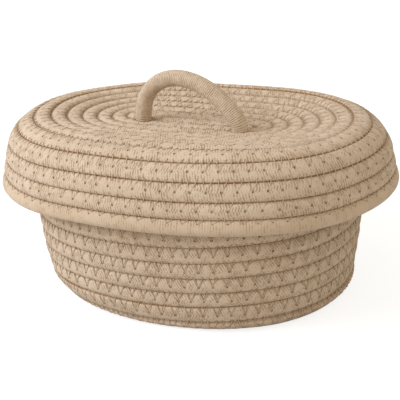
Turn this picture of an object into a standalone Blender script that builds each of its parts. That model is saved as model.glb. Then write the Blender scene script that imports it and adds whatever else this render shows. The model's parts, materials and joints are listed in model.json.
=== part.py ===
"""Oval basket of coiled cotton rope, with a lift-off coiled lid and a rope arch handle.

Metres, +Z up. The origin is on the floor under the middle of the base. X runs along the oval,
and the front is at -Y.
"""

import math

import bpy
import numpy as np
from mathutils import Euler

# Rope
ROPE_DIAMETER = 0.0092
ROW_GAP = 0.0008
POINTS_PER_LOOP = 24
FLAT_CUT_SHARE = 0.1

# Plan of the coils: straight core rows, whose sides bow out as the rows grow
BASKET_CORE_HALF = 0.0240
LID_CORE_HALF = 0.0400
SIDE_BOW_LENGTH = 0.4700
CORE_BOW_SHARE = 0.01
CORE_EASE_TURNS = 6.0
FRONT_ROW_SHARE = 0.25

# Basket
BASE_FLAT_RUN = 0.0624
BASE_TURN_UP_RUN = 0.0133
WALL_LEAN_DEGREES = 10.0
RIM_DRAW_IN_DEGREES = 19.0
DRAW_IN_RUN = 0.1047
RIM_HEIGHT = 0.0980
RIM_END_SHARE = 0.92

# Lid
LID_TURN_DOWN_LEAD = 0.0165
LID_TURN_DOWN_RUN = 0.0280
SKIRT_FLARE_DEGREES = 13.4
SKIRT_DEPTH = 0.0400
TOP_DISH = 0.0054
SEAT_GAP = 0.0003
FACET_SHARE = 0.07
LID_LEFT_RAISE_DEGREES = 1.33
LID_BACK_RAISE_DEGREES = 0.87

# Handle
HANDLE_DIAMETER = 0.0100
LEFT_FOOT_REACH = 0.0345
RIGHT_FOOT_REACH = 0.0415
LEFT_FOOT_SEAM = 0
RIGHT_FOOT_SEAM = 1
ARCH_HEIGHT = 0.0315
ARCH_LEAN = 0.0060
ARCH_STEPS = 24
HINGE_RISE = 0.0040
FOOT_HOLE_CLEARANCE = 0.0004
HOLE_SIDES = 12
KNOT_RADIUS = 0.0110
KNOT_TURNS = 1.15
KNOT_RISE = 0.0120
KNOT_BEND_SHARE = 0.5
KNOT_SPREAD_SHARE = 0.17
KNOT_BEND_STEPS = 5
BALL_STEPS = 4
BALL_TIP_SHARE = 0.08

ROPE_RADIUS = ROPE_DIAMETER / 2
HANDLE_RADIUS = HANDLE_DIAMETER / 2
ROW_PITCH = ROPE_DIAMETER + ROW_GAP
COTTON = (0.61, 0.45, 0.31, 1.0)
HANDLE_COTTON = (0.64, 0.49, 0.34, 1.0)


def clear_scene():
    for obj in list(bpy.data.objects):
        bpy.data.objects.remove(obj, do_unlink=True)


def material(name, colour, roughness):
    made = bpy.data.materials.new(name)
    made.use_nodes = True
    shader = made.node_tree.nodes["Principled BSDF"]
    shader.inputs["Base Color"].default_value = colour
    shader.inputs["Roughness"].default_value = roughness
    shader.inputs["Metallic"].default_value = 0.0
    return made


# Plan outline

def support(core_half, offset, angle):
    """Support function of a row's outline and its slope, at the direction of its normal."""
    bow = CORE_BOW_SHARE + offset / SIDE_BOW_LENGTH
    reach = np.sqrt(np.cos(angle) ** 2 + bow**2)
    return core_half * reach + offset, -core_half * np.cos(angle) * np.sin(angle) / reach


def outline_point(core_half, offset, growth, angle):
    """Plan point of a row. Growth is the offset's own change with the angle."""
    height, slope = support(core_half, offset, angle)
    slope = slope + growth
    x = height * np.cos(angle) - slope * np.sin(angle)
    y = height * np.sin(angle) + slope * np.cos(angle)
    return x, y


def loop_angles(core_half, offset):
    """Normal directions from the front middle once round, whose points are evenly spaced."""
    fine = np.linspace(-np.pi / 2, 1.5 * np.pi, 40 * POINTS_PER_LOOP + 1)
    x, y = outline_point(core_half, offset, 0.0, fine)
    run = np.concatenate([[0.0], np.cumsum(np.hypot(np.diff(x), np.diff(y)))])
    return np.interp(np.arange(POINTS_PER_LOOP) * run[-1] / POINTS_PER_LOOP, run, fine)


def half_turn_clock(turns):
    """Turns counted so that they pass at the rounded ends only, and rest along the straight sides."""
    half = np.floor(2 * turns)
    part = 2 * turns - half
    return (half + (1 - np.cos(np.pi * part)) / 2) / 2


# Section profile: each row lies one pitch from the row before it, in the direction lean(turns)

def profile_point(turns, lean):
    """Offset from the core and drop from the flat rows, at this many turns from the core."""
    first = turns - math.floor(turns)
    offset, drop = ROW_PITCH * first, 0.0
    for row in range(math.floor(turns)):
        angle = lean(ROW_PITCH * (first + row))
        offset += ROW_PITCH * math.cos(angle)
        drop += ROW_PITCH * math.sin(angle)
    return offset, drop


def ramp(run, start, length, full):
    return full * min(max((run - start) / length, 0.0), 1.0)


def base_lean(run):
    """The base runs flat, turns up at the corner, and the wall straightens towards the rim."""
    corner = ramp(run, BASE_FLAT_RUN, BASE_TURN_UP_RUN, math.radians(90 - WALL_LEAN_DEGREES))
    rise = ramp(run, BASE_FLAT_RUN, DRAW_IN_RUN, 1.0)
    return corner + math.radians(WALL_LEAN_DEGREES + RIM_DRAW_IN_DEGREES) * rise**2


def coil(core_half, sense, lean, limit, mid_offset, last_place=None):
    """Centre line of one rope from the core row out, until its drop reaches the limit, and its offsets."""
    angles = loop_angles(core_half, mid_offset)
    points, offsets = [], []
    step = 1 - POINTS_PER_LOOP // 4
    while True:
        loop, place = divmod(step, POINTS_PER_LOOP)
        by_angle = loop + (angles[place] + math.pi / 2) / (2 * math.pi)
        by_length = step / POINTS_PER_LOOP
        ease = 1 - ramp(by_length, 0.0, CORE_EASE_TURNS, 1.0)
        turns = FRONT_ROW_SHARE + ease * float(half_turn_clock(by_angle)) + (1 - ease) * by_length
        growth = ease * FRONT_ROW_SHARE * ROW_PITCH * math.sin(2 * math.pi * (by_angle % 0.5))
        offset, drop = profile_point(turns, lean)
        angle = sense * angles[place] if sense > 0 else -math.pi - angles[place]
        x, y = outline_point(core_half, offset, sense * growth, angle)
        points.append((float(x), float(y), drop))
        offsets.append(offset)
        if drop >= limit and last_place in (None, place):
            return np.array(points), np.array(offsets)
        step += 1


# Distances between centre lines

def segment_distances(points, line):
    """Distance from each point to each segment of the line."""
    start, run = line[:-1], np.diff(line, axis=0)
    offset = points[:, None, :] - start[None, :, :]
    share = np.clip((offset * run).sum(-1) / (run * run).sum(-1), 0.0, 1.0)
    return np.linalg.norm(offset - share[..., None] * run, axis=-1)


def least_gap_to_itself(line, diameter):
    """Least gap of a rope to itself, from points on the line to segments that are at least two diameters on."""
    shares = np.linspace(0.0, 1.0, 4, endpoint=False)[:, None, None]
    points = (line[:-1] + shares * np.diff(line, axis=0)).reshape(-1, 3)
    run = np.concatenate([[0.0], np.cumsum(np.linalg.norm(np.diff(line, axis=0), axis=1))])
    place = (run[:-1] + shares[..., 0] * np.diff(run)).reshape(-1)
    apart = np.maximum(run[:-1][None, :] - place[:, None], place[:, None] - run[1:][None, :])
    distances = np.where(apart > 2 * diameter, segment_distances(points, line), np.inf)
    return float(distances.min()) - diameter


def seated_height(lid_line, basket_line):
    """Height of the lid's origin at which its faceted rope clears the basket's by the seat gap."""
    least = ROPE_DIAMETER * (1 - FACET_SHARE) + SEAT_GAP
    low = basket_line[:, 2].max()
    high = low + 2 * ROPE_DIAMETER + TOP_DISH
    for _ in range(24):
        middle = (low + high) / 2
        raised = lid_line + np.array([0.0, 0.0, middle])
        clear = segment_distances(raised, basket_line).min() >= least
        clear = clear and segment_distances(basket_line, raised).min() >= least
        low, high = (low, middle) if clear else (middle, high)
    return high


# Solids

def tube(name, line, origin, radius, sides_resolution, finish, shares=None, holder=None):
    """One rope along a line, as a bevelled curve with closed ends, turned into a mesh about its origin.
    The line and the origin are in the holder's own axes where there is one."""
    curve = bpy.data.curves.new(name, "CURVE")
    curve.dimensions = "3D"
    curve.twist_mode = "Z_UP"
    curve.bevel_depth = radius
    curve.bevel_resolution = sides_resolution
    curve.use_fill_caps = True
    spline = curve.splines.new("POLY")
    spline.points.add(len(line) - 1)
    for index, place in enumerate(np.array(line) - origin):
        spline.points[index].co = (*place, 1.0)
        spline.points[index].radius = 1.0 if shares is None else shares[index]
    guide = bpy.data.objects.new(name + "_guide", curve)
    bpy.context.scene.collection.objects.link(guide)
    bpy.context.view_layer.update()
    mesh = bpy.data.meshes.new_from_object(guide.evaluated_get(bpy.context.evaluated_depsgraph_get()))
    bpy.data.objects.remove(guide, do_unlink=True)
    mesh.name = name
    mesh.materials.clear()
    mesh.materials.append(finish)
    made = bpy.data.objects.new(name, mesh)
    made.parent = holder
    made.location = origin
    bpy.context.scene.collection.objects.link(made)
    weld = made.modifiers.new("close_caps", "WELD")
    weld.merge_threshold = ROW_GAP / 100
    mesh.shade_smooth()
    mesh.set_sharp_from_angle(angle=math.radians(70))
    return made


def cutter(name, mesh_points, faces, holder=None):
    mesh = bpy.data.meshes.new(name)
    mesh.from_pydata(mesh_points, [], faces)
    made = bpy.data.objects.new(name, mesh)
    made.parent = holder
    bpy.context.scene.collection.objects.link(made)
    made.hide_render = True
    made.display_type = "WIRE"
    return made


def block(name, low, high):
    """Closed box between two corners, its faces pointing out."""
    corners = [(x, y, z) for x in (low[0], high[0]) for y in (low[1], high[1]) for z in (low[2], high[2])]
    faces = [(0, 1, 3, 2), (4, 6, 7, 5), (0, 4, 5, 1), (2, 3, 7, 6), (0, 2, 6, 4), (1, 5, 7, 3)]
    return cutter(name, corners, faces)


def post(name, centre, radius, low, high, sides, holder):
    """Closed prism along its holder's upright, its faces pointing out."""
    turn = [2 * math.pi * side / sides for side in range(sides)]
    ring = [(centre[0] + radius * math.cos(a), centre[1] + radius * math.sin(a)) for a in turn]
    corners = [(x, y, low) for x, y in ring] + [(x, y, high) for x, y in ring]
    walls = [(i, (i + 1) % sides, sides + (i + 1) % sides, sides + i) for i in range(sides)]
    return cutter(name, corners, [tuple(range(sides))[::-1], tuple(range(sides, 2 * sides)), *walls], holder)


def cut(target, tool):
    modifier = target.modifiers.new(tool.name, "BOOLEAN")
    modifier.operation = "DIFFERENCE"
    modifier.solver = "EXACT"
    modifier.object = tool


# Handle

def seam_point(seam, reach):
    """Plan point on a seam in front of the lid's core row, this far to the right of the middle."""
    angles = np.linspace(-np.pi, 0.0, 20 * POINTS_PER_LOOP)
    x, y = outline_point(LID_CORE_HALF, ROW_PITCH * (FRONT_ROW_SHARE + 0.5 + seam), 0.0, angles)
    return reach, float(np.interp(reach, x, y))


def arch_line(left, right):
    """The arch from the left foot to the right, steeper on the left, its ends on the bending line."""
    middle, half = (left + right) / 2, (right - left) / 2
    ahead = half / np.linalg.norm(half)
    line = []
    for step in range(ARCH_STEPS + 1):
        place = math.pi * step / ARCH_STEPS
        point = middle - half * math.cos(place) - ARCH_LEAN * math.sin(place) ** 2 * ahead
        line.append(point + np.array([0.0, 0.0, (ARCH_HEIGHT - HINGE_RISE) * math.sin(place)]))
    return line


def rounded_ends(line):
    """Adds a half ball to both ends of a line, and gives each point its share of the rope's radius."""
    turns = [math.pi / 2 * step / BALL_STEPS for step in range(BALL_STEPS)]
    down = np.array([0.0, 0.0, -HANDLE_RADIUS])
    start = [line[0] + down * math.cos(turn) for turn in turns]
    end = [line[-1] + down * math.cos(turn) for turn in turns]
    shares = [max(math.sin(turn), BALL_TIP_SHARE) for turn in turns]
    return start + line + end[::-1], shares + [1.0] * len(line) + shares[::-1]


def tail_line(foot, away, top, underside):
    """The handle's end: down through the lid, out, and once round its own standing part under the lid."""
    wrap_top = underside - SEAT_GAP - HANDLE_RADIUS
    wrap_start = wrap_top - KNOT_RISE * KNOT_TURNS
    bend = KNOT_RADIUS * KNOT_BEND_SHARE
    line = [(0.0, 0.0, top), (0.0, 0.0, underside), (0.0, 0.0, wrap_start + bend)]
    for step in range(1, KNOT_BEND_STEPS + 1):
        angle = math.pi / 2 * step / KNOT_BEND_STEPS
        line.append((bend * (1 - math.cos(angle)), 0.0, wrap_start + bend * (1 - math.sin(angle))))
    steps = round(POINTS_PER_LOOP * KNOT_TURNS)
    for step in range(1, steps + 1):
        angle = 2 * math.pi * KNOT_TURNS * step / steps
        reach = bend + (KNOT_RADIUS - bend) * min(1.0, step / (steps * KNOT_SPREAD_SHARE))
        height = wrap_start + KNOT_RISE * KNOT_TURNS * step / steps
        line.append((reach * math.cos(angle), reach * math.sin(angle), height))
    return np.array([(foot[0] + away * x, foot[1] + y, z) for x, y, z in line])


# Assembly

def build():
    clear_scene()
    cotton = material("cotton_rope", COTTON, 0.85)
    handle_cotton = material("cotton_handle_rope", HANDLE_COTTON, 0.8)

    flat_height = ROPE_RADIUS * (1 - 2 * FLAT_CUT_SHARE)
    rim_end = round(RIM_END_SHARE * POINTS_PER_LOOP)
    line, offsets = coil(BASKET_CORE_HALF, 1, base_lean, RIM_HEIGHT - ROPE_RADIUS - flat_height, BASE_FLAT_RUN, rim_end)
    basket_line = line + np.array([0.0, 0.0, flat_height])
    basket_rope = tube("basket_rope", basket_line, np.zeros(3), ROPE_RADIUS, 1, cotton)
    low, high = basket_line.min(axis=0) - ROPE_DIAMETER, basket_line.max(axis=0) + ROPE_DIAMETER
    cut(basket_rope, block("floor_cut", (low[0], low[1], low[2]), (high[0], high[1], 0.0)))
    print("basket rope: gap to itself", round(1000 * least_gap_to_itself(basket_line, ROPE_DIAMETER), 2), "mm")

    lid_flat_run = offsets[-1] - LID_TURN_DOWN_LEAD

    def lid_lean(run):
        return ramp(run, lid_flat_run, LID_TURN_DOWN_RUN, math.radians(90 - SKIRT_FLARE_DEGREES))

    line, offsets = coil(LID_CORE_HALF, -1, lid_lean, SKIRT_DEPTH, lid_flat_run, POINTS_PER_LOOP // 2)
    dish = TOP_DISH * np.clip(1 - (offsets / lid_flat_run) ** 2, 0.0, None)
    lid_line = line * np.array([1.0, 1.0, -1.0]) - np.stack([0 * dish, 0 * dish, dish], axis=1)
    print("lid rope: gap to itself", round(1000 * least_gap_to_itself(lid_line, ROPE_DIAMETER), 2), "mm")

    # The rim climbs as it winds, so the lid lies a little higher at the back left
    tilt = Euler((math.radians(LID_BACK_RAISE_DEGREES), math.radians(LID_LEFT_RAISE_DEGREES), 0.0))
    lid_seat = bpy.data.objects.new("lid_seat", None)
    lid_seat.rotation_euler = tilt
    lid_seat.location.z = seated_height(lid_line @ np.array(tilt.to_matrix()).T, basket_line)
    bpy.context.scene.collection.objects.link(lid_seat)
    lid_rope = tube("lid_rope", lid_line, np.zeros(3), ROPE_RADIUS, 1, cotton, holder=lid_seat)

    hinge_height = ROPE_RADIUS + HINGE_RISE - TOP_DISH
    feet = []
    for name, side, reach, seam in (
        ("handle_tail_left", -1, LEFT_FOOT_REACH, LEFT_FOOT_SEAM),
        ("handle_tail_right", 1, RIGHT_FOOT_REACH, RIGHT_FOOT_SEAM),
    ):
        foot = np.array([*seam_point(seam, side * reach), hinge_height])
        tail = tail_line(foot, side, hinge_height - HANDLE_RADIUS - SEAT_GAP, -TOP_DISH - ROPE_RADIUS)
        tube(name, tail, foot, HANDLE_RADIUS, 1, handle_cotton, holder=lid_seat)
        print(name + ": gap to itself", round(1000 * least_gap_to_itself(tail, HANDLE_DIAMETER), 2), "mm")
        hole_radius = HANDLE_RADIUS + FOOT_HOLE_CLEARANCE
        hole_bottom = -TOP_DISH - ROPE_DIAMETER
        cut(lid_rope, post(name + "_hole", foot, hole_radius, hole_bottom, hinge_height, HOLE_SIDES, lid_seat))
        feet.append(foot)
    line, shares = rounded_ends(arch_line(*feet))
    tube("handle_rope", line, (feet[0] + feet[1]) / 2, HANDLE_RADIUS, 2, handle_cotton, shares, lid_seat)


build()
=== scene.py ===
"""Looks of the oval coiled cotton rope basket: full ropes, sewing thread, materials, light and camera."""

import functools
import json
import math

import bpy
import numpy as np
from mathutils import Euler, Matrix, Vector


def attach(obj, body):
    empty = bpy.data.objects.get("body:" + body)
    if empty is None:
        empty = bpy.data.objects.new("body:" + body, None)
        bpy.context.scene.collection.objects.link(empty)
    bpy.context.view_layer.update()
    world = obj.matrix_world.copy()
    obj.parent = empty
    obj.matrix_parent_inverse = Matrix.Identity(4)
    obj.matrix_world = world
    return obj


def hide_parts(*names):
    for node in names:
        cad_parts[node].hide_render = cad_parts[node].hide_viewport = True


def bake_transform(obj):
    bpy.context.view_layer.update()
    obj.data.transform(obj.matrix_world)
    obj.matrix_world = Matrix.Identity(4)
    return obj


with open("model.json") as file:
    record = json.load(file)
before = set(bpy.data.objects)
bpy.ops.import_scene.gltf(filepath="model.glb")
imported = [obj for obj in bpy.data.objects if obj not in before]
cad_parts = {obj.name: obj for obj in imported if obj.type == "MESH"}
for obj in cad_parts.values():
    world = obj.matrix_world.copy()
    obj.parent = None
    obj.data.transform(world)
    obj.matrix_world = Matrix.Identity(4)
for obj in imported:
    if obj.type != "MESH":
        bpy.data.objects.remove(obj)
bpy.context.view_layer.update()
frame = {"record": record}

# Rows, in metres as everything here, and the rope's section pressed between its neighbours
PITCH = 0.0100
PRESS = 0.00015
HALF_ROW = PITCH / 2 + PRESS
WIDEST_CORE_HALF = 0.75 * PITCH
CORE_BESIDE = PITCH / 8
HALF_THICKNESS = 0.0047
SECTION_HALF_WIDTH = 0.0061
FREE_HALF_WIDTH = 0.0046
SECTION_POWER = 2.3
CORNER_FULLNESS = 0.0036
CAD_ROPE_RADIUS = 0.0046

# Plan of the coils: straight core rows, whose sides bow out as the rows grow
SIDE_BOW_LENGTH = 0.4700
CORE_BOW_SHARE = 0.01
CORE_EASE_TURNS = 6.0
FRONT_ROW_SHARE = 0.25

# Basket
FLAT_HEIGHT = 0.00368
BASKET_CORE_HALF = 0.0240
BASE_FLAT_RUN = 0.0624
BASE_TURN_UP_RUN = 0.0133
WALL_LEAN = math.radians(10.0)
RIM_DRAW_IN = math.radians(19.0)
DRAW_IN_RUN = 0.1047
RIM_HEIGHT = 0.0980
RIM_END_CAD_POINT = 22
SOFT_CORNER_WAY = (-0.90, -0.44)
SOFT_CORNER_START = 0.025
SOFT_CORNER_RUN = 0.060
SOFT_CORNER_IN = 0.0050
SOFT_CORNER_LIFT = 0.0018
SOFT_CORNER_HEIGHT = 0.032

# Lid
LID_CORE_HALF = 0.0400
LID_TURN_DOWN_LEAD = 0.0165
LID_TURN_DOWN_RUN = 0.0280
SKIRT_FLARE = math.radians(13.4)
SKIRT_DEPTH = 0.0400
TOP_DISH = 0.0054
LID_LEFT_RAISE = math.radians(1.33)
LID_BACK_RAISE = math.radians(0.87)
FOOT_OPENING = 0.0066
FOOT_OPENING_POWER = 4
FOOT_OPENING_SHIFT = 0.0012
FOOT_OPENING_FRONT_SHARE = 0.5

# Handle
HANDLE_RADIUS = 0.0053
HINGE_RISE = 0.0040
LEFT_FOOT_REACH = 0.0345
RIGHT_FOOT_REACH = 0.0415
FOOT_DRAW_IN = 0.0021
LEFT_LEG_IN = 0.0027
LEFT_LEG_PULL = 0.0328
RIGHT_LEG_IN = 0.0239
RIGHT_LEG_PULL = 0.0363
TAIL_TOP_DROP = 0.0015
KNOT_GAP = 0.0003
KNOT_RADIUS = 0.0110
KNOT_TURNS = 1.15
KNOT_RISE = 0.0120
KNOT_SPREAD_SHARE = 0.17

# Mesh
RINGS_PER_LOOP = 336
CAD_POINTS_PER_LOOP = 24
RINGS_PER_CAD_POINT = RINGS_PER_LOOP // CAD_POINTS_PER_LOOP
SIDES = 16
LOOP_SAMPLES = 7201
SEAM_SAMPLES = 4801
SECTION_SAMPLES = 2001
END_RINGS = 6
COIL_END_OFFSET = 0.5
START_REACH = 0.0085
START_FULLNESS = 0.20
TINY = 1e-6

# Hand-sewn wander of the walls: for each axis its waves, as radians per metre along X, Y and Z and a phase
WARP = 0.0003
WARP_FLOOR_FADE = 0.02
WARP_X = ((0, 71, 53, 0.4), (37, 0, 0, 1.1))
WARP_Y = ((67, 0, -41, 2.0), (0, 43, 0, 0.3))
WARP_Z = ((59, 47, 0, 1.3),)

# Stitches: shares are of a row, counted from the seam above it, or of a stitch along the row
STITCH = 0.0085
SLOW_DRIFT, SLOW_DRIFT_RUN = 0.3, 0.047
QUICK_DRIFT, QUICK_DRIFT_RUN, QUICK_DRIFT_PHASE = 0.2, 0.021, 1.0
HOLE_DEPTH_SHARE = 0.48
LAST_HOLE_DEPTH_SHARE = 0.20
LAST_ROW_FADE_RINGS = 24
ARM_SPREAD_SHARE = 0.33
UPPER_END_SHARE = 0.85
ARM_DEPTH_SHARE = HOLE_DEPTH_SHARE + 1 - UPPER_END_SHARE
ARM_SLOPE = ARM_DEPTH_SHARE * PITCH / (ARM_SPREAD_SHARE * STITCH)
ARM_FADE_SHARE = 0.06
PINCH = 0.00040
TOP_PINCH = 0.00038
SKIRT_PINCH = 0.00020
TOP_TO_SKIRT_LEAN = (0.1, 0.5)
PINCH_HALF_WIDTH = 0.0011

# Thread: places along an arm of the zigzag, of which the first and last are sunk into the rope
ARM_PLACES = (-0.03, 0.0, 0.2, 0.4, 0.58, 0.68, 0.74, 0.80, 1.0, 1.03)
THREAD_SIDES = 5
THREAD_RADIUS = 0.00024
THREAD_LIFT = -0.00030
THREAD_END_LIFT = -0.0012
SEAM_THREAD_LIFT = 0.00005
SEAM_LIFT_SHARE = 0.13
SEAM_CROSSING_SHARE = 0.05
SEAM_EDGE_SHARE = 0.06
HOLE_SCATTER = 0.02
RADIUS_SCATTER = 0.1
THREAD_START_RINGS = 4
THREAD_END_RINGS = 6

hinge = next(j for j in frame["record"]["behaviour"]["joints"] if j["name"] == "handle_tilt")
HINGE = np.array(hinge["pos_m"])


# Coil

def ramp(run, start, length, full):
    """Grows evenly from 0 to the full value over a length that begins at the start."""
    return full * np.clip((run - start) / length, 0.0, 1.0)


def running(steps):
    """Running total of the steps, from zero."""
    return np.concatenate([[0.0], np.cumsum(steps)])


def base_lean(run):
    """Lean of the basket's section so far from the middle: flat, turned up at the wall, drawn in above."""
    corner = ramp(run, BASE_FLAT_RUN, BASE_TURN_UP_RUN, math.pi / 2 - WALL_LEAN)
    return corner + (WALL_LEAN + RIM_DRAW_IN) * ramp(run, BASE_FLAT_RUN, DRAW_IN_RUN, 1.0) ** 2


def outline_point(core_half, offset, growth, angle):
    """Point of a row in plan, from its support function: the distance of its tangent at that angle."""
    bow = CORE_BOW_SHARE + offset / SIDE_BOW_LENGTH
    reach = np.sqrt(np.cos(angle) ** 2 + bow**2)
    slope = growth - core_half * np.cos(angle) * np.sin(angle) / reach
    height = core_half * reach + offset
    x = height * np.cos(angle) - slope * np.sin(angle)
    y = height * np.sin(angle) + slope * np.cos(angle)
    return np.array([x, y])


def loop_angles(core_half, offset):
    """Angles of the outline at which a loop's rings stand, evenly spaced along the rope."""
    fine = np.linspace(-np.pi / 2, 1.5 * np.pi, LOOP_SAMPLES)
    x, y = outline_point(core_half, offset, 0.0, fine)
    run = running(np.hypot(np.diff(x), np.diff(y)))
    return np.interp(np.arange(RINGS_PER_LOOP) * run[-1] / RINGS_PER_LOOP, run, fine)


def half_turn_clock(turns):
    """Turns that dwell at each half turn, where the core's straight sides lie."""
    half = math.floor(2 * turns)
    return (half + (1 - math.cos(math.pi * (2 * turns - half))) / 2) / 2


def profile_point(turns, lean):
    """Offset and drop of the row after so many turns, each row a pitch on at its own lean."""
    first = turns - math.floor(turns)
    offset, drop = PITCH * first, 0.0
    for row in range(math.floor(turns)):
        angle = lean(PITCH * (first + row))
        offset += PITCH * math.cos(angle)
        drop += PITCH * math.sin(angle)
    return offset, drop


class Coil:
    """Centre line of one coiled rope with its section axes: ahead to the next row, and out of the face."""

    def __init__(self, core_half, sense, lean, limit, mid_offset, last_place):
        """Winds rows until they reach the limit's depth and the rope ends at its last place in the loop."""
        angles = loop_angles(core_half, mid_offset)
        step = RINGS_PER_CAD_POINT - RINGS_PER_LOOP // 4
        centre, normal, lean_here, offsets = [], [], [], []
        while True:
            loop, place = divmod(step, RINGS_PER_LOOP)
            by_angle = loop + (angles[place] + math.pi / 2) / (2 * math.pi)
            by_length = step / RINGS_PER_LOOP
            ease = 1 - min(max(by_length / CORE_EASE_TURNS, 0.0), 1.0)
            turns = FRONT_ROW_SHARE + ease * half_turn_clock(by_angle) + (1 - ease) * by_length
            growth = ease * FRONT_ROW_SHARE * PITCH * math.sin(2 * math.pi * (by_angle % 0.5))
            offset, drop = profile_point(turns, lean)
            angle = angles[place] if sense > 0 else -math.pi - angles[place]
            x, y = outline_point(core_half, offset, sense * growth, angle)
            centre.append((x, y, drop))
            normal.append((math.cos(angle), math.sin(angle), 0.0))
            run = PITCH * turns
            lean_here.append((lean(max(run - PITCH, 0.0)) + lean(run)) / 2)
            offsets.append(offset)
            if drop >= limit and place == last_place:
                break
            step += 1
        self.centre = np.array(centre)
        self.normal = np.array(normal)
        self.lean = np.array(lean_here)
        self.offset = np.array(offsets)

    def finish(self, upward, rise):
        """Puts the rope in its place. Upward is 1 for a wall that climbs and -1 for a skirt that falls."""
        self.upward = upward
        self.centre = self.centre * np.array([1.0, 1.0, upward])
        self.centre[:, 2] += rise
        self.run = running(np.linalg.norm(np.diff(self.centre, axis=0), axis=1))
        self.set_axes()
        self.set_stitches()
        self.set_widths()
        self.lengthen_start()

    def set_axes(self):
        """Section axes of each ring, leaning as the wall does there."""
        up = np.array([0.0, 0.0, 1.0])
        cosine, sine = np.cos(self.lean)[:, None], np.sin(self.lean)[:, None]
        self.ahead = cosine * self.normal + self.upward * sine * up
        self.out = sine * self.normal - self.upward * cosine * up

    def set_stitches(self):
        """Stitches counted along the rope, the depth of their needle holes and the thread's pinch."""
        slow = SLOW_DRIFT * np.sin(self.run / SLOW_DRIFT_RUN)
        quick = QUICK_DRIFT * np.sin(self.run / QUICK_DRIFT_RUN + QUICK_DRIFT_PHASE)
        self.stitches = self.run / STITCH + slow + quick
        self.hole = np.full(len(self.run), HOLE_DEPTH_SHARE)
        self.pinch = np.full(len(self.run), PINCH)
        if self.upward < 0:
            past_last_seam = np.arange(len(self.run)) - len(self.run) + RINGS_PER_LOOP
            share = np.clip(past_last_seam / LAST_ROW_FADE_RINGS, 0.0, 1.0)
            self.hole += share * (LAST_HOLE_DEPTH_SHARE - HOLE_DEPTH_SHARE)
            self.pinch = np.interp(self.lean, TOP_TO_SKIRT_LEAN, [TOP_PINCH, SKIRT_PINCH])

    def set_widths(self):
        """Fuller where the wall bends, and in the first loop wide enough to meet the row across the core."""
        bend = np.abs(np.gradient(self.lean, PITCH / RINGS_PER_LOOP)) * PITCH
        window = RINGS_PER_LOOP // 2 + 1
        padded = np.pad(bend, RINGS_PER_LOOP // 4, mode="edge")
        self.bend = np.convolve(padded, np.ones(window), "valid") / window
        self.half_width = SECTION_HALF_WIDTH + CORNER_FULLNESS * np.minimum(self.bend, 1.0)
        self.core_half = np.full(len(self.run), HALF_ROW)
        first = self.centre[:RINGS_PER_LOOP, None] - self.centre[None, :RINGS_PER_LOOP]
        for index in range(RINGS_PER_LOOP):
            inner = -(first[:, index] @ self.ahead[index])
            along = first[:, index] @ np.cross(self.ahead[index], self.out[index])
            facing = inner[(np.abs(along) < CORE_BESIDE) & (inner > PITCH / 2)]
            if len(facing):
                wanted = max(facing.min() / 2 + PRESS, HALF_ROW)
                self.core_half[index] = min(wanted, WIDEST_CORE_HALF)

    def lengthen_start(self):
        """Draws the rope's start back, so that its rounded end fills the middle of the coil."""
        back = self.centre[0] - self.centre[1]
        share = (1 - np.arange(END_RINGS) / END_RINGS)[:, None]
        self.centre[:END_RINGS] += START_REACH * share * back / np.linalg.norm(back)


def build_coils():
    """The basket's coil, and the lid's, whose flat top reaches out to just inside the rim."""
    rim_place = RIM_END_CAD_POINT * RINGS_PER_CAD_POINT
    rim_rise = RIM_HEIGHT - CAD_ROPE_RADIUS - FLAT_HEIGHT
    basket = Coil(BASKET_CORE_HALF, 1, base_lean, rim_rise, BASE_FLAT_RUN, rim_place)
    basket.finish(1, FLAT_HEIGHT)
    flat_run = basket.offset[-1] - LID_TURN_DOWN_LEAD

    def lid_lean(run):
        return ramp(run, flat_run, LID_TURN_DOWN_RUN, math.pi / 2 - SKIRT_FLARE)

    lid = Coil(LID_CORE_HALF, -1, lid_lean, SKIRT_DEPTH, flat_run, RINGS_PER_LOOP // 2)
    lid.finish(-1, -TOP_DISH * np.clip(1 - (lid.offset / flat_run) ** 2, 0.0, None))
    return basket, lid


# Lid's own axes, which lie tilted on the climbing rim. The feet are in these axes

def seam_point(seam, reach):
    """Point in plan on the seam behind this front row of the lid, so far along X."""
    angles = np.linspace(-np.pi, 0.0, SEAM_SAMPLES)
    x, y = outline_point(LID_CORE_HALF, PITCH * (FRONT_ROW_SHARE + 0.5 + seam), 0.0, angles)
    return reach, float(np.interp(reach, x, y))


TILT = np.array(Euler((LID_BACK_RAISE, LID_LEFT_RAISE, 0.0)).to_matrix())
FOOT_HEIGHT = CAD_ROPE_RADIUS + HINGE_RISE - TOP_DISH
CAD_FEET = [
    np.array([*seam_point(seam, reach), FOOT_HEIGHT])
    for seam, reach in ((0, -LEFT_FOOT_REACH), (1, RIGHT_FOOT_REACH))
]
LID_SEAT = np.array([0.0, 0.0, HINGE[2] - (TILT @ (CAD_FEET[0] + CAD_FEET[1]) / 2)[2]])
ACROSS = (CAD_FEET[1] - CAD_FEET[0]) / np.linalg.norm(CAD_FEET[1] - CAD_FEET[0])
FEET = [CAD_FEET[0] + FOOT_DRAW_IN * ACROSS, CAD_FEET[1] - FOOT_DRAW_IN * ACROSS]


def on_lid(points):
    """Points in the lid's own axes, put where the lid lies on the rim."""
    return points @ TILT.T + LID_SEAT


# Shapes

def warped(points):
    """Hand-sewn unevenness: a slow wander of the whole wall, the same for neighbouring ropes."""
    x, y, z = points.T

    def waves(parts):
        found = WARP
        for along_x, along_y, along_z, phase in parts:
            found = found * np.sin(along_x * x + along_y * y + along_z * z + phase)
        return found

    moved = points.copy()
    moved[:, 0] += waves(WARP_X)
    moved[:, 1] += waves(WARP_Y)
    moved[:, 2] += waves(WARP_Z) * np.clip(z / WARP_FLOOR_FADE, 0.0, 1.0)
    return moved


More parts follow.
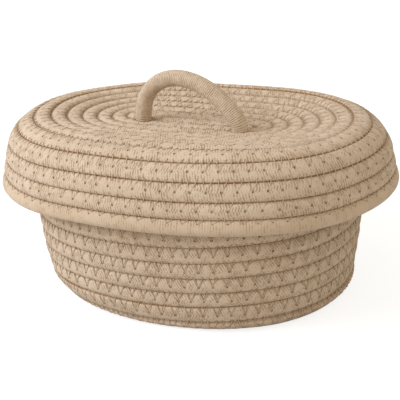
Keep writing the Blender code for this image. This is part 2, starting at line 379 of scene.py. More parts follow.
def basket_shape(points):
    """The basket's wander and its soft left foot, with whatever lies under the floor pressed flat."""
    moved = warped(points)
    low = np.clip(1 - moved[:, 2] / SOFT_CORNER_HEIGHT, 0.0, 1.0) ** 2
    reach = SOFT_CORNER_WAY[0] * moved[:, 0] + SOFT_CORNER_WAY[1] * moved[:, 1]
    left = np.clip((reach - SOFT_CORNER_START) / SOFT_CORNER_RUN, 0.0, 1.0)
    soft = low * left**2 * (3 - 2 * left)
    moved[:, 0] += SOFT_CORNER_IN * soft
    moved[:, 2] += SOFT_CORNER_LIFT * soft
    moved[:, 2] = np.maximum(moved[:, 2], 0.0)
    return moved


def lid_shape(points):
    """Pushes the lid's ropes and thread aside where the handle passes through, and lays them on the rim."""
    moved = points.copy()
    power = FOOT_OPENING_POWER
    for foot, inward in zip(FEET, (1, -1)):
        shift = inward * ACROSS[:2] - np.array([0.0, FOOT_OPENING_FRONT_SHARE])
        middle = foot[:2] + FOOT_OPENING_SHIFT * shift
        away = moved[:, :2] - middle
        reach = np.maximum(np.linalg.norm(away, axis=1), TINY)
        wider = (reach**power + FOOT_OPENING**power) ** (1 / power)
        moved[:, :2] = middle + away * (wider / reach)[:, None]
    return warped(on_lid(moved))


# Section

def section_turns():
    """Turns round the section whose points are evenly spaced, the two contacts and both faces among them."""
    end = math.asin(min(1.0, PITCH / 2 / SECTION_HALF_WIDTH) ** (SECTION_POWER / 2))
    fine = np.linspace(0.0, end, SECTION_SAMPLES)
    a = SECTION_HALF_WIDTH * np.sin(fine) ** (2 / SECTION_POWER)
    b = HALF_THICKNESS * np.cos(fine) ** (2 / SECTION_POWER)
    run = running(np.hypot(np.diff(a), np.diff(b)))
    points = SIDES // 4
    quarter = np.interp(np.arange(points) * run[-1] / (points - 1), run, fine)
    half = np.concatenate([quarter, [math.pi / 2], math.pi - quarter[::-1][:-1]])
    return np.concatenate([half, half + math.pi, [2 * math.pi]])


def section(coil, index, turn, grow=0.0):
    """Place on the rope's face, towards the next row and outwards, and its share of the way to a neighbour.

    The turn runs from straight out (0) towards the next row (pi/2). Neighbours press the rope flat.
    """
    c, s = np.cos(turn), np.sin(turn)
    half_width = np.where(c > 0, coil.half_width[index], SECTION_HALF_WIDTH)
    half_width = np.where(s < 0, half_width * coil.core_half[index] / HALF_ROW, half_width)
    a = np.sign(s) * np.abs(s) ** (2 / SECTION_POWER) * (half_width + grow)
    b = np.sign(c) * np.abs(c) ** (2 / SECTION_POWER) * (HALF_THICKNESS + grow)
    corner = grow + np.maximum(b, 0.0) * coil.bend[index] / 2
    next_limit = HALF_ROW + corner
    last_limit = coil.core_half[index] + corner
    if index >= len(coil.centre) - RINGS_PER_LOOP:
        a = np.where(a > 0, a * FREE_HALF_WIDTH / SECTION_HALF_WIDTH, a)
    a = np.clip(a, -last_limit, next_limit)
    return a, b, a / np.where(a > 0, next_limit, last_limit)


def pinch(coil, index, q):
    """How far, from 0 to 1, the thread presses into the rope at this share of a row under the seam above."""
    lower = min(max(index - coil.upward * RINGS_PER_LOOP, 0), len(coil.run) - 1)
    own_q = q * HOLE_DEPTH_SHARE / coil.hole[index]
    own_arms = (coil.stitches[index], HOLE_DEPTH_SHARE - own_q)
    arms_from_below = (coil.stitches[lower], HOLE_DEPTH_SHARE + 1 - q)
    found = np.zeros_like(q)
    for stitches, depth in (own_arms, arms_from_below):
        x = abs(stitches % 1.0 - 0.5) * STITCH
        off = np.abs(x * ARM_SLOPE - depth * PITCH) / math.hypot(1.0, ARM_SLOPE)
        past_hole = np.clip((depth + ARM_FADE_SHARE) / ARM_FADE_SHARE, 0.0, 1.0)
        past_end = np.clip((ARM_DEPTH_SHARE + ARM_FADE_SHARE - depth) / ARM_FADE_SHARE, 0.0, 1.0)
        found = np.maximum(found, past_hole * past_end * np.exp(-((off / PINCH_HALF_WIDTH) ** 2)))
    return found


# Meshes

def new_piece(name, verts, faces, uvs, finish):
    """A smooth mesh object with its texture coordinates, listed face by face, and its material."""
    mesh = bpy.data.meshes.new(name)
    mesh.from_pydata(verts, [], faces)
    for uv_name, values in uvs.items():
        layer = mesh.uv_layers.new(name=uv_name)
        layer.data.foreach_set("uv", np.asarray(values, np.float32).reshape(-1))
    mesh.materials.append(finish)
    mesh.shade_smooth()
    mesh.update()
    made = bpy.data.objects.new(name, mesh)
    bpy.context.scene.collection.objects.link(made)
    return made


def grid_faces(rings, sides):
    """Four-cornered faces between rings of points, each ring closed on itself."""
    i, j = np.indices((rings - 1, sides))
    i, k = i * sides, (j + 1) % sides
    return np.stack([i + j, i + k, i + sides + k, i + sides + j], axis=-1).reshape(-1, 4)


def grid_corners(rings, sides):
    """Ring and side of each corner of grid_faces. One more side follows the last, not the first again."""
    i, j = np.indices((rings - 1, sides))
    of_ring = np.stack([i, i, i + 1, i + 1], axis=-1).reshape(-1, 4)
    of_side = np.stack([j, j + 1, j + 1, j], axis=-1).reshape(-1, 4)
    return of_ring, of_side


def end_caps(rings, sides):
    """One face over the first ring and one over the last."""
    return [list(range(sides))[::-1], list(range((rings - 1) * sides, rings * sides))]


def end_girth(ring, offset):
    """Share of a rope's full girth so many rings from its rounded end."""
    return math.sin(math.pi / 2 * (ring + offset) / (END_RINGS + offset))


def unit_rows(vectors):
    return vectors / np.linalg.norm(vectors, axis=1)[:, None]


def tube(line, across, other, sides, radius):
    """Points of the rings round a line, one ring after another."""
    turn = np.arange(sides) * 2 * math.pi / sides
    ring = across[:, None] * np.cos(turn)[None, :, None] + other[:, None] * np.sin(turn)[None, :, None]
    return (line[:, None] + radius * ring).reshape(-1, 3)


def coil_order(coil):
    """1 where the grid's faces point out as listed, and -1 where they have to be turned round."""
    forward = coil.centre[RINGS_PER_LOOP] - coil.centre[RINGS_PER_LOOP - 1]
    around = np.cross(coil.out[RINGS_PER_LOOP], coil.ahead[RINGS_PER_LOOP])
    return 1 if forward @ around > 0 else -1


# Share of a row that stands for a place with no stitch near
FAR = 9.0


def coil_piece(name, coil, finish, shape):
    """The coiled rope itself, with its lengths, its girth and its stitches as texture coordinates."""
    n = len(coil.centre)
    turns = section_turns()
    verts = np.empty((n, SIDES, 3))
    q = np.empty((n, SIDES + 1))
    for index in range(n):
        a, b, share = section(coil, index, turns)
        q[index] = (1 - coil.upward * share) / 2
        b = b - np.sign(b) * coil.pinch[index] * pinch(coil, index, q[index])
        near_end = min(index, n - 1 - index)
        tight = end_girth(near_end, COIL_END_OFFSET) if near_end < END_RINGS else 1.0
        if index < END_RINGS:
            tight **= START_FULLNESS
        across = a[:SIDES, None] * coil.ahead[index] + b[:SIDES, None] * coil.out[index]
        verts[index] = coil.centre[index] + tight * across
    a, b, _ = section(coil, 0, turns)
    girth = running(np.hypot(np.diff(a), np.diff(b)))
    lower = coil.stitches[np.clip(np.arange(n) - coil.upward * RINGS_PER_LOOP, 0, n - 1)]
    own_q = q * (HOLE_DEPTH_SHARE / coil.hole)[:, None]
    order = coil_order(coil)
    rings, sides = (corners[:, ::order].reshape(-1) for corners in grid_corners(n, SIDES))
    rope_uv = np.stack([coil.run[rings], girth[sides]], axis=1)
    own_uv = np.stack([coil.stitches[rings], own_q[rings, sides]], axis=1)
    next_uv = np.stack([lower[rings], q[rings, sides]], axis=1)
    cap_far = [(0.0, FAR)] * (2 * SIDES)
    uvs = {
        "rope": np.concatenate([rope_uv, [(coil.run[0], 0.0)] * SIDES, [(coil.run[-1], 0.0)] * SIDES]),
        "stitch_own": np.concatenate([own_uv, cap_far]),
        "stitch_next": np.concatenate([next_uv, cap_far]),
    }
    faces = grid_faces(n, SIDES)[:, ::order].tolist() + [cap[::order] for cap in end_caps(n, SIDES)]
    return new_piece(name, shape(verts.reshape(-1, 3)), faces, uvs, finish)


# Thread

def seam_places(coil):
    """Stitch numbers, counted at the needle holes, of the seams from the first to the last."""
    last_ring = len(coil.centre) - THREAD_END_RINGS
    if coil.upward > 0:
        rings = (THREAD_START_RINGS, last_ring - RINGS_PER_LOOP)
    else:
        rings = (RINGS_PER_LOOP, last_ring)
    first, last = coil.stitches[rings[0]] - 0.5, coil.stitches[rings[1]] - 0.5
    return np.arange(math.ceil(first), math.floor(last) + 1) + 0.5


def turn_for(coil, place, side, q):
    """Turn of the section at which the face lies this share of a row under the seam above it."""
    half_width = coil.half_width[min(int(place), len(coil.run) - 1)] if side > 0 else SECTION_HALF_WIDTH
    a = coil.upward * (1 - 2 * q) * PITCH / 2 / half_width
    s = math.copysign(abs(a) ** (SECTION_POWER / 2), a)
    return math.asin(max(-1.0, min(1.0, s)))


def face_point(coil, place, side, q, lift):
    """Point over the outer (1) or inner (-1) face, at a fractional ring number and a share of a row."""
    index = int(np.clip(math.floor(place), 0, len(coil.centre) - 2))
    part = place - index
    centre = (1 - part) * coil.centre[index] + part * coil.centre[index + 1]
    ahead = (1 - part) * coil.ahead[index] + part * coil.ahead[index + 1]
    out = (1 - part) * coil.out[index] + part * coil.out[index + 1]
    a, b, _ = section(coil, index, np.array([turn_for(coil, place, side, q)]), lift)
    return centre + a[0] * ahead + side * b[0] * out


def point_by_seam(coil, place, side, depth, lift):
    """Point this share of a row under a seam, or over it where the depth is negative."""
    upper = place + coil.upward * RINGS_PER_LOOP
    if depth >= SEAM_CROSSING_SHARE:
        return face_point(coil, place, side, depth, lift)
    if depth <= -SEAM_CROSSING_SHARE:
        return face_point(coil, upper, side, 1 + depth, lift)
    low = face_point(coil, place, side, SEAM_EDGE_SHARE, lift)
    high = face_point(coil, upper, side, 1 - SEAM_EDGE_SHARE, lift)
    share = (SEAM_CROSSING_SHARE - depth) / (2 * SEAM_CROSSING_SHARE)
    return (1 - share) * low + share * high


def arm_path(coil, side, hole_place, end_place, hole_q):
    """Points of one arm of the zigzag, from its needle hole over the seam to the row above."""
    path = []
    for t in ARM_PLACES:
        depth = hole_q - t * (hole_q + (1 - UPPER_END_SHARE))
        if depth > 0:
            depth *= coil.hole[int(hole_place)] / HOLE_DEPTH_SHARE
        if abs(depth) < SEAM_LIFT_SHARE:
            lift = SEAM_THREAD_LIFT
        elif 0 <= t <= 1:
            lift = THREAD_LIFT
        else:
            lift = THREAD_END_LIFT
        place = hole_place + min(max(t, 0.0), 1.0) * (end_place - hole_place)
        path.append(point_by_seam(coil, place, side, depth, lift))
    return np.array(path)


def thread_piece(name, coil, side, finish, shape, seed):
    """Zigzag thread over every seam: two arms from each needle hole to the row above."""
    rng = np.random.default_rng(seed)
    rings = np.arange(len(coil.run))
    arm_faces = grid_faces(len(ARM_PLACES), THREAD_SIDES)[:, ::-1].tolist()
    arm_faces += [cap[::-1] for cap in end_caps(len(ARM_PLACES), THREAD_SIDES)]
    verts, faces, start = [], [], 0
    for stitch in seam_places(coil):
        hole_q = HOLE_DEPTH_SHARE + HOLE_SCATTER * rng.standard_normal()
        hole_place = float(np.interp(stitch, coil.stitches, rings))
        for way in (-1, 1):
            end_place = float(np.interp(stitch + way * ARM_SPREAD_SHARE, coil.stitches, rings))
            path = arm_path(coil, side, hole_place, end_place, hole_q)
            along = unit_rows(np.gradient(path, axis=0))
            across = unit_rows(np.cross(along, coil.out[int(hole_place)] * side))
            radius = THREAD_RADIUS * (1 + RADIUS_SCATTER * rng.standard_normal())
            verts.append(tube(path, across, np.cross(across, along), THREAD_SIDES, radius))
            faces += [[start + corner for corner in face] for face in arm_faces]
            start += len(verts[-1])
    return new_piece(name, shape(np.concatenate(verts)), faces, {}, finish)


# Handle

ARCH_STEPS = 96
TAIL_POINTS = 16
KNOT_BEND_STEPS = 8
KNOT_STEPS = 64
SMOOTHING_PASSES = 6
HANDLE_RING_STEP = 0.0009
HANDLE_SIDES = 24
HANDLE_END_OFFSET = 0.6
FIRST_SIDEWAYS = (0.3, 0.9, 0.1)


def arch_points():
    """The left leg stands nearly upright and the right leg runs off on a slant."""
    up = np.array([0.0, 0.0, 1.0])
    left = FEET[0] + LEFT_LEG_IN * ACROSS + LEFT_LEG_PULL * up
    right = FEET[1] - RIGHT_LEG_IN * ACROSS + RIGHT_LEG_PULL * up
    t = np.linspace(0.0, 1.0, ARCH_STEPS + 1)[:, None]
    return (1 - t) ** 3 * FEET[0] + 3 * (1 - t) ** 2 * t * left + 3 * (1 - t) * t**2 * right + t**3 * FEET[1]


def tail_points(foot, away):
    """Down through the lid, round a quarter bend and once round in the knot."""
    wrap_top = -TOP_DISH - CAD_ROPE_RADIUS - KNOT_GAP - HANDLE_RADIUS
    wrap_start = wrap_top - KNOT_RISE * KNOT_TURNS
    bend = KNOT_RADIUS / 2
    line = [(0.0, 0.0, z) for z in np.linspace(foot[2] - TAIL_TOP_DROP, wrap_start + bend, TAIL_POINTS)]
    for step in range(1, KNOT_BEND_STEPS + 1):
        angle = math.pi / 2 * step / KNOT_BEND_STEPS
        line.append((bend * (1 - math.cos(angle)), 0.0, wrap_start + bend * (1 - math.sin(angle))))
    for step in range(1, KNOT_STEPS + 1):
        angle = 2 * math.pi * KNOT_TURNS * step / KNOT_STEPS
        reach = bend + (KNOT_RADIUS - bend) * min(1.0, step / (KNOT_STEPS * KNOT_SPREAD_SHARE))
        height = wrap_start + KNOT_RISE * KNOT_TURNS * step / KNOT_STEPS
        line.append((reach * math.cos(angle), reach * math.sin(angle), height))
    return np.array([(foot[0] + away * x, foot[1] + y, z) for x, y, z in line])


def resample(line, step):
    """The line with evenly spaced points, and the running length at each."""
    run = running(np.linalg.norm(np.diff(line, axis=0), axis=1))
    at = np.linspace(0.0, run[-1], round(run[-1] / step) + 1)
    return np.stack([np.interp(at, run, line[:, k]) for k in range(3)], axis=1), at


def carried_sideways(along):
    """A direction across the line at each point, which turns no more than the line makes it."""
    across = np.empty_like(along)
    across[0] = np.cross(along[0], FIRST_SIDEWAYS)
    across[0] /= np.linalg.norm(across[0])
    for k in range(1, len(along)):
        kept = across[k - 1] - (across[k - 1] @ along[k]) * along[k]
        across[k] = kept / np.linalg.norm(kept)
    return across


def handle_piece(name, finish):
    """The handle's one rope: knot, up through the lid, arch, down through the lid, knot."""
    line = np.concatenate([tail_points(FEET[0], -1)[::-1], arch_points(), tail_points(FEET[1], 1)])
    for _ in range(SMOOTHING_PASSES):
        line[1:-1] = (line[:-2] + 2 * line[1:-1] + line[2:]) / 4
    line, run = resample(on_lid(line), HANDLE_RING_STEP)
    along = unit_rows(np.gradient(line, axis=0))
    across = carried_sideways(along)
    n = len(line)
    tight = np.ones(n)
    for k in range(END_RINGS):
        tight[k] = tight[-1 - k] = end_girth(k, HANDLE_END_OFFSET)
    radius = HANDLE_RADIUS * tight[:, None, None]
    verts = tube(line, across, np.cross(along, across), HANDLE_SIDES, radius)
    rings, sides = (corners.reshape(-1) for corners in grid_corners(n, HANDLE_SIDES))
    side_width = 2 * math.pi * HANDLE_RADIUS / HANDLE_SIDES
    uv = np.stack([run[rings], side_width * sides], axis=1)
    uv = np.concatenate([uv, [(run[0], 0.0)] * HANDLE_SIDES, [(run[-1], 0.0)] * HANDLE_SIDES])
    faces = grid_faces(n, HANDLE_SIDES).tolist() + end_caps(n, HANDLE_SIDES)
    return new_piece(name, verts, faces, {"rope": uv}, finish)


# Materials

LIGHT_COTTON = (0.695, 0.552, 0.428, 1)
HANDLE_COTTON = (0.720, 0.588, 0.465, 1)
# Dark cotton: painted shade between the braid's strands, and the fibres' own darker tone
DARK_COTTON = (0.470, 0.335, 0.220, 1)
# Deep cotton: the cotton's own random mottle, and painted shade in the thread's creases and on the lid's last
# row
DEEP_COTTON = (0.400, 0.255, 0.135, 1)
# Shade cotton: painted shade along the seams between rows and in the needle holes
SHADE_COTTON = (0.320, 0.155, 0.045, 1)
# Thread: painted darker than the rope, as the shade of the creases it lies in, light and dark along its twist
LIGHT_THREAD = (0.640, 0.490, 0.360, 1)
DARK_THREAD = (0.500, 0.365, 0.250, 1)

# Noise of the cotton, as features per metre and detail, and the levels between which it takes effect
WANDER_NOISE = (330.0, 2.0)
STRENGTH_NOISES = (((150.0, 1.0), (0.35, 0.65)), ((430.0, 1.0), (0.38, 0.58)))
FIBRE_NOISE = (1300.0, 3.0)
MOTTLE_NOISE = (38.0, 3.0)
MOTTLE_LEVELS = (0.3, 0.7)
SEAM_PATCH_LEVELS = (0.35, 0.6)
CREASE_PATCH_NOISE = (90.0, 1.0)
CREASE_PATCH_LEVELS = (0.35, 0.65)
STRAY_NOISE = (210.0, 1.0)
STRAY_LEVELS = (0.25, 0.75)
THREAD_NOISE = (3500.0, 2.0)
THREAD_LEVELS = (0.35, 0.65)

# Braid: how painted shade between the strands and the fibres' own random tone colour it, and how far they
# stand out in metres
WANDER_SHARE = 0.9
RIB_POWER = 1.6
STRAND_SHADE = -0.70
FIBRE_SHADE = 0.8
TONE_LEVELS = (-0.12, 0.40)
MOTTLE_SHADE = 0.14
STRAND_RELIEF = -0.00032
FIBRE_RELIEF = 0.00014
THREAD_RELIEF = 0.0002

# Marks of the thread: painted shade and dents in its creases and needle holes, and painted shade along the
# seams; widths and depths in metres, shades as shares
# Creases under the thread's arms: painted shade and dents
CREASE_WIDTHS = (0.0001, 0.0007)
CREASE_STRAY = 0.0004
CREASE_RELIEF = 0.0007
CREASE_PATCHES = (0.2, 1.1)
CREASE_END_SHARE = 0.04
CREASE_FADE_SHARE = 0.03
# Needle holes: painted shade and dents
HOLE_SIZE = 0.0007
UPPER_HOLE_SIZE = 0.0003
HOLE_EDGE_SHARES = (0.35, 1.3)
HOLE_SHADE = 0.95
HOLE_RELIEF = 0.0009
# Seams: painted shade in the groove between rows, in patches, and weaker near the floor
SEAM_WIDTHS = (0.00015, 0.00065)
SEAM_PATCH_SHADE = 0.75
SEAM_FLOOR_HEIGHTS = (0.006, 0.013)
SEAM_FLOOR_SHADE = 0.15

# Lid: on its flat top, lit from above, the painted crease shade is stronger and the painted seam shade
# fainter, and its last row is calm and painted a little darker as shade, for it faces down
TOP_FADE_SHARE = 0.9
TOP_CREASE_SHARE = 1.8
TOP_SEAM_SHARE = 0.25
TOP_END_LEAN = 0.15
HEM_FADE_SHARE = 0.98
HEM_STRENGTH = 0.6
# Painted shade on the lid's last row, which faces down
HEM_SHADE = 0.17


class Nodes:
    """Adds nodes to a material or a world and joins them."""

    def __init__(self, owner):
        owner.use_nodes = True
        self.tree = owner.node_tree

    def add(self, kind, **settings):
        node = self.tree.nodes.new(kind)
        for key, value in settings.items():
            setattr(node, key, value)
        return node

    def put(self, socket, value):
        if hasattr(value, "is_output"):
            self.tree.links.new(value, socket)
        else:
            socket.default_value = value

    def math(self, operation, *values):
        node = self.add("ShaderNodeMath", operation=operation)
        for socket, value in zip(node.inputs, values):
            self.put(socket, value)
        return node.outputs[0]

    def times(self, *values):
        return functools.reduce(lambda a, b: self.math("MULTIPLY", a, b), values)

    def plus(self, *values):
        return functools.reduce(lambda a, b: self.math("ADD", a, b), values)

    def minus(self, a, b):
        return self.math("SUBTRACT", a, b)

    def split(self, vector):
        node = self.add("ShaderNodeSeparateXYZ")
        self.put(node.inputs[0], vector)
        return node.outputs[0], node.outputs[1], node.outputs[2]

    def uv(self, name):
        return self.split(self.add("ShaderNodeUVMap", uv_map=name).outputs[0])[:2]

    def place(self):
        return self.add("ShaderNodeTexCoord").outputs["Object"]

    def noise(self, scale_and_detail, vector):
        node = self.add("ShaderNodeTexNoise")
        scale, detail = scale_and_detail
        for socket, value in (("Scale", scale), ("Detail", detail), ("Vector", vector)):
            self.put(node.inputs[socket], value)
        return node.outputs["Fac"]

    def between(self, value, low, high, to_low, to_high):
        """Eases from one value to the other while the input goes from low to high."""
        node = self.add("ShaderNodeMapRange", interpolation_type="SMOOTHSTEP")
        for socket, put in zip(node.inputs, (value, low, high, to_low, to_high)):
            self.put(socket, put)
        return node.outputs[0]

    def mix(self, share, a, b):
        node = self.add("ShaderNodeMix", data_type="RGBA")
        for socket, value in ((0, share), (6, a), (7, b)):
            self.put(node.inputs[socket], value)
        return node.outputs[2]

    def seen_ray(self):
        """1 where the camera looks, also through a reflection or glass, and 0 for light on the object."""
        path = self.add("ShaderNodeLightPath").outputs
        reflected = self.math("MAXIMUM", path["Is Glossy Ray"], path["Is Transmission Ray"])
        return self.math("MAXIMUM", path["Is Camera Ray"], reflected)


def new_material(name, settings):
    """A material with its shader's own settings, returned with its node helper and shader."""
    material = bpy.data.materials.new(name)
    n = Nodes(material)
    shader = n.tree.nodes["Principled BSDF"]
    for socket, value in settings.items():
        shader.inputs[socket].default_value = value
    return material, n, shader


def set_surface(n, shader, colour, height, strength=1.0):
    """Gives the shader its colour, and a bump whose height is in metres."""
    bump = n.add("ShaderNodeBump")
    n.put(bump.inputs["Strength"], strength)
    n.put(bump.inputs["Distance"], 1.0)
    n.put(bump.inputs["Height"], height)
    n.put(shader.inputs["Base Color"], colour)
    n.put(shader.inputs["Normal"], bump.outputs[0])


def braid(n, u, v, place, rib, column_width, slant_share, evenness, calm):
    """How deep, from 0 to 1, a spot lies between the slanted strands of the braid's columns."""
    column = n.math("PINGPONG", n.times(v, 0.5 / column_width), 0.5)
    slant = n.times(column, 2 * slant_share * column_width / rib, calm)
    wander = n.times(n.noise(WANDER_NOISE, place), WANDER_SHARE * (1 - evenness))
    phase = n.plus(n.times(u, 1 / rib), slant, wander)
    ribs = n.math("POWER", n.math("ABSOLUTE", n.math("SINE", n.times(phase, math.pi))), RIB_POWER)
    strong = n.between(calm, 0.0, 1.0, HEM_STRENGTH, 1.0)
    for noise, levels in STRENGTH_NOISES:
        strong = n.times(strong, n.between(n.noise(noise, place), *levels, evenness, 1.0))
    return n.times(n.minus(1.0, ribs), strong)


def stitch_marks(n, place):
    """Creases under the arms of the zigzag and needle holes, from 0 to 1, for their painted shade and dents,
    and the share of a row.
    """
    creases, holes = [], []
    across = 1 / math.hypot(1.0, ARM_SLOPE)
    stray = n.between(n.noise(STRAY_NOISE, place), *STRAY_LEVELS, -CREASE_STRAY, CREASE_STRAY)
    own_hole, upper_hole = HOLE_DEPTH_SHARE, UPPER_END_SHARE
    arm_end = upper_hole - CREASE_END_SHARE
    for map_name, top, hole_x, hole_q, low, high, size in (
        ("stitch_own", own_hole, 0.0, own_hole, -FAR, own_hole + CREASE_END_SHARE, HOLE_SIZE),
        ("stitch_next", 1 + own_hole, ARM_SPREAD_SHARE, upper_hole, arm_end, FAR, UPPER_HOLE_SIZE),
    ):
        p, q = n.uv(map_name)
        x = n.times(n.math("ABSOLUTE", n.minus(n.math("FRACT", p), 0.5)), STITCH)
        y = n.times(n.minus(top, q), PITCH)
        off = n.math("ABSOLUTE", n.plus(n.times(n.minus(n.times(x, ARM_SLOPE), y), across), stray))
        past_low = n.between(q, low - CREASE_FADE_SHARE, low, 0.0, 1.0)
        past_high = n.between(q, high, high + CREASE_FADE_SHARE, 1.0, 0.0)
        creases.append(n.times(n.between(off, *CREASE_WIDTHS, 1.0, 0.0), n.times(past_low, past_high)))
        dx = n.minus(x, hole_x * STITCH)
        dy = n.times(n.minus(q, hole_q), PITCH)
        far = n.math("SQRT", n.plus(n.times(dx, dx), n.times(dy, dy)))
        holes.append(n.between(far, *(size * share for share in HOLE_EDGE_SHARES), 1.0, 0.0))
    return n.math("MAXIMUM", *creases), n.math("MAXIMUM", *holes), q


def rope_material(
    name,
    light,
    rib,
    column_width,
    slant_share,
    evenness,
    crease_dark=0.0,
    painted_seam_shade=0.0,
    top_run=0.0,
    hem_run=0.0,
):
    """Braided cotton: slanted strands in columns, loose fibres, dents where thread and needle pass, and
    painted shade in its hollows and on the lid's last row.
    """
    settings = {"Roughness": 0.9, "Sheen Weight": 0.15, "Sheen Roughness": 0.5, "Specular IOR Level": 0.2}
    material, n, shader = new_material(name, settings)
    u, v = n.uv("rope")
    place = n.place()
    calm = n.between(u, HEM_FADE_SHARE * hem_run, hem_run, 1.0, 0.0) if hem_run else 1.0
    strands = braid(n, u, v, place, rib, column_width, slant_share, evenness, calm)
    fibre = n.noise(FIBRE_NOISE, place)
    broad = n.noise(MOTTLE_NOISE, place)
    # Painted shade: darker between the strands; the fibre noise is the cotton's own random tone
    tone = n.plus(n.times(strands, STRAND_SHADE), n.times(fibre, FIBRE_SHADE))
    colour = n.mix(n.between(tone, *TONE_LEVELS, 0.0, 1.0), DARK_COTTON, light)
    colour = n.mix(n.between(broad, *MOTTLE_LEVELS, 0.0, MOTTLE_SHADE), colour, DEEP_COTTON)
    # Painted shade: the lid's last row, facing down, is darker
    colour = n.mix(n.between(calm, 0.0, 1.0, HEM_SHADE, 0.0), colour, DEEP_COTTON)
    height = n.plus(n.times(strands, STRAND_RELIEF), n.times(fibre, FIBRE_RELIEF))
    if painted_seam_shade:
        crease, hole, q = stitch_marks(n, place)
        # Painted shade in the creases under the thread's arms, in patches
        low, high = (share * crease_dark for share in CREASE_PATCHES)
        patches = n.between(n.noise(CREASE_PATCH_NOISE, place), *CREASE_PATCH_LEVELS, low, high)
        crease_shade = n.times(crease, patches)
        # Painted shade along the seam grooves between rows, in patches, and weaker near the floor, where the
        # floor's light reaches them
        seam = n.between(n.times(n.math("PINGPONG", q, 0.5), PITCH), *SEAM_WIDTHS, 1.0, 0.0)
        seam = n.times(seam, n.between(broad, *SEAM_PATCH_LEVELS, SEAM_PATCH_SHADE, 1.0))
        seam = n.times(seam, n.between(n.split(place)[2], *SEAM_FLOOR_HEIGHTS, SEAM_FLOOR_SHADE, 1.0))
        if top_run:
            # On the lid's flat top, lit from above, the painted crease shade is stronger and the painted seam
            # shade fainter
            top_end = (u, TOP_FADE_SHARE * top_run, top_run)
            crease_shade = n.times(crease_shade, n.between(*top_end, TOP_CREASE_SHARE, 1.0))
            seam = n.times(seam, n.between(*top_end, TOP_SEAM_SHARE, 1.0))
        # Painted shade mixed into the colour: creases, seams and needle holes
        colour = n.mix(crease_shade, colour, DEEP_COTTON)
        colour = n.mix(n.times(seam, painted_seam_shade), colour, SHADE_COTTON)
        # Painted shade in the needle holes
        colour = n.mix(n.times(hole, HOLE_SHADE), colour, SHADE_COTTON)
        height = n.minus(height, n.times(crease, CREASE_RELIEF * crease_dark))
        height = n.minus(height, n.times(hole, HOLE_RELIEF))
    set_surface(n, shader, colour, height)
    return material


def thread_material(name):
    """Sewing thread: smoother than the rope, with a fine twist, and painted darker than the rope as the shade
    of its creases.
    """
    material, n, shader = new_material(name, {"Roughness": 0.75, "Sheen Weight": 0.2})
    tone = n.noise(THREAD_NOISE, n.place())
    colour = n.mix(n.between(tone, *THREAD_LEVELS, 0.0, 1.0), DARK_THREAD, LIGHT_THREAD)
    set_surface(n, shader, colour, n.times(tone, THREAD_RELIEF), strength=0.6)
    return material


# Studio

FLOOR_HALF = 6.0
FLOOR_DROP = 0.0002
FLOOR_LIT_COLOUR = (0.72, 0.71, 0.69, 1)
FLOOR_SEEN_COLOUR = (0.36, 0.36, 0.36, 1)
FLOOR_GLOW = 0.80
WHITE = (1, 1, 1, 1)
SKY_COLOUR = (1.0, 0.925, 0.77, 1)
SKY_STRENGTH = 0.70
KEY_PLACE = (-0.98, -0.70, 0.98)
KEY_TARGET = (0.0, 0.0, 0.07)
KEY_WATTS = 14.9
KEY_SIZE = 0.9
KEY_COLOUR = (0.88, 0.955, 1.06)


def floor():
    """White where it is looked at, with half of the shadow, and pale grey for the light that it sends up."""
    settings = {"Roughness": 1.0, "Specular IOR Level": 0.0, "Emission Color": WHITE}
    material, n, shader = new_material("pale_floor", settings)
    seen = n.seen_ray()
    n.put(shader.inputs["Base Color"], n.mix(seen, FLOOR_LIT_COLOUR, FLOOR_SEEN_COLOUR))
    n.put(shader.inputs["Emission Strength"], n.times(seen, FLOOR_GLOW))
    corners = [(x * FLOOR_HALF, y * FLOOR_HALF, -FLOOR_DROP) for x, y in ((-1, -1), (1, -1), (1, 1), (-1, 1))]
    mesh = bpy.data.meshes.new("floor")
    mesh.from_pydata(corners, [], [(0, 1, 2, 3)])
    mesh.materials.append(material)
    made = bpy.data.objects.new("floor", mesh)
    bpy.context.scene.collection.objects.link(made)


def sky():
    """White where it is looked at, and a softer warm light on the object."""
    world = bpy.data.worlds.new("studio")
    n = Nodes(world)
    background = n.tree.nodes["Background"]
    seen = n.seen_ray()
    n.put(background.inputs["Color"], n.mix(seen, SKY_COLOUR, WHITE))
    n.put(background.inputs["Strength"], n.between(seen, 0.0, 1.0, SKY_STRENGTH, 1.0))
    bpy.context.scene.world = world


def key_light():
    """One large soft lamp from the left front."""
    data = bpy.data.lights.new("key", "AREA")
    data.shape = "DISK"
    data.size = KEY_SIZE
    data.energy = KEY_WATTS
    data.color = KEY_COLOUR
    made = bpy.data.objects.new("key", data)
    made.location = KEY_PLACE
    made.rotation_euler = (Vector(KEY_TARGET) - Vector(KEY_PLACE)).to_track_quat("-Z", "Y").to_euler()
    bpy.context.scene.collection.objects.link(made)


# Camera, fitted to the photograph: angles in degrees, and focal length and centre in its pixels
AZIMUTH = 24.45
ELEVATION = 19.55
ROLL = 3.30
DISTANCE = 0.596
TARGET_HEIGHT = 0.06
FOCAL_PIXELS = 878.2
CENTRE_PIXELS = (-2.14, -8.41)
IMAGE_PIXELS = 400
SENSOR_WIDTH_MM = 36.0
NEAR_CLIP = 0.01


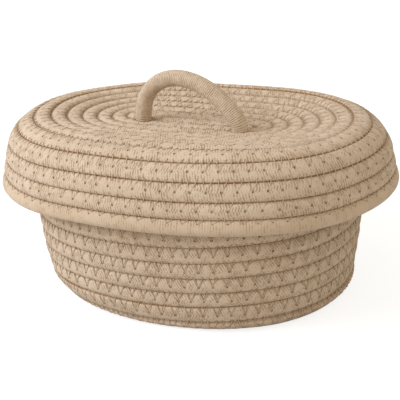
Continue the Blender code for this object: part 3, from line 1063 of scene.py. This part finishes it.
def camera():
    """Looks at the middle of the object as the photograph does."""
    azimuth, elevation, roll = math.radians(AZIMUTH), math.radians(ELEVATION), math.radians(ROLL)
    level = math.cos(elevation)
    back = Vector((math.sin(azimuth) * level, -math.cos(azimuth) * level, math.sin(elevation)))
    right = Vector((math.cos(azimuth), math.sin(azimuth), 0.0))
    up = back.cross(right)
    across = math.cos(roll) * right - math.sin(roll) * up
    upright = math.sin(roll) * right + math.cos(roll) * up
    data = bpy.data.cameras.new("camera")
    data.sensor_width = SENSOR_WIDTH_MM
    data.lens = FOCAL_PIXELS * SENSOR_WIDTH_MM / IMAGE_PIXELS
    data.shift_x = -CENTRE_PIXELS[0] / IMAGE_PIXELS
    data.shift_y = CENTRE_PIXELS[1] / IMAGE_PIXELS
    data.clip_start = NEAR_CLIP
    made = bpy.data.objects.new("camera", data)
    turn = Matrix((across, upright, back)).transposed().to_4x4()
    made.matrix_world = Matrix.Translation(Vector((0.0, 0.0, TARGET_HEIGHT)) + back * DISTANCE) @ turn
    bpy.context.scene.collection.objects.link(made)
    bpy.context.scene.camera = made


# Pieces

camera()
floor()
sky()
key_light()
basket_coil, lid_coil = build_coils()
basket_cotton = rope_material(
    "basket_cotton",
    LIGHT_COTTON,
    rib=0.0017,
    column_width=0.0052,
    slant_share=0.60,
    evenness=0.40,
    crease_dark=0.55,
    painted_seam_shade=0.75,
)
lid_cotton = rope_material(
    "lid_cotton",
    LIGHT_COTTON,
    rib=0.0016,
    column_width=0.0070,
    slant_share=0.22,
    evenness=0.35,
    crease_dark=0.15,
    painted_seam_shade=0.90,
    top_run=float(lid_coil.run[np.argmax(lid_coil.lean > TOP_END_LEAN)]),
    hem_run=float(lid_coil.run[-RINGS_PER_LOOP]),
)
handle_cotton = rope_material(
    "handle_cotton", HANDLE_COTTON, rib=0.00125, column_width=0.0083, slant_share=0.05, evenness=0.60
)
thread_cotton = thread_material("sewing_thread")
basket = coil_piece("basket_coil", basket_coil, basket_cotton, basket_shape)
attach(basket, "basket")
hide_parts("basket_rope")
lid = coil_piece("lid_coil", lid_coil, lid_cotton, lid_shape)
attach(lid, "lid")
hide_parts("lid_rope")
handle = handle_piece("handle_cord", handle_cotton)
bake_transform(handle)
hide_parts("handle_rope", "handle_tail_left", "handle_tail_right")
for piece_name, coil, side, shape, body, seed in (
    ("basket_thread", basket_coil, 1, basket_shape, "basket", 1),
    ("basket_thread_inside", basket_coil, -1, basket_shape, "basket", 2),
    ("lid_thread", lid_coil, 1, lid_shape, "lid", 3),
    ("lid_thread_inside", lid_coil, -1, lid_shape, "lid", 4),
):
    piece = thread_piece(piece_name, coil, side, thread_cotton, shape, seed)
    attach(piece, body)

bpy.context.scene.view_settings.view_transform = "Standard"
bpy.context.view_layer.update()
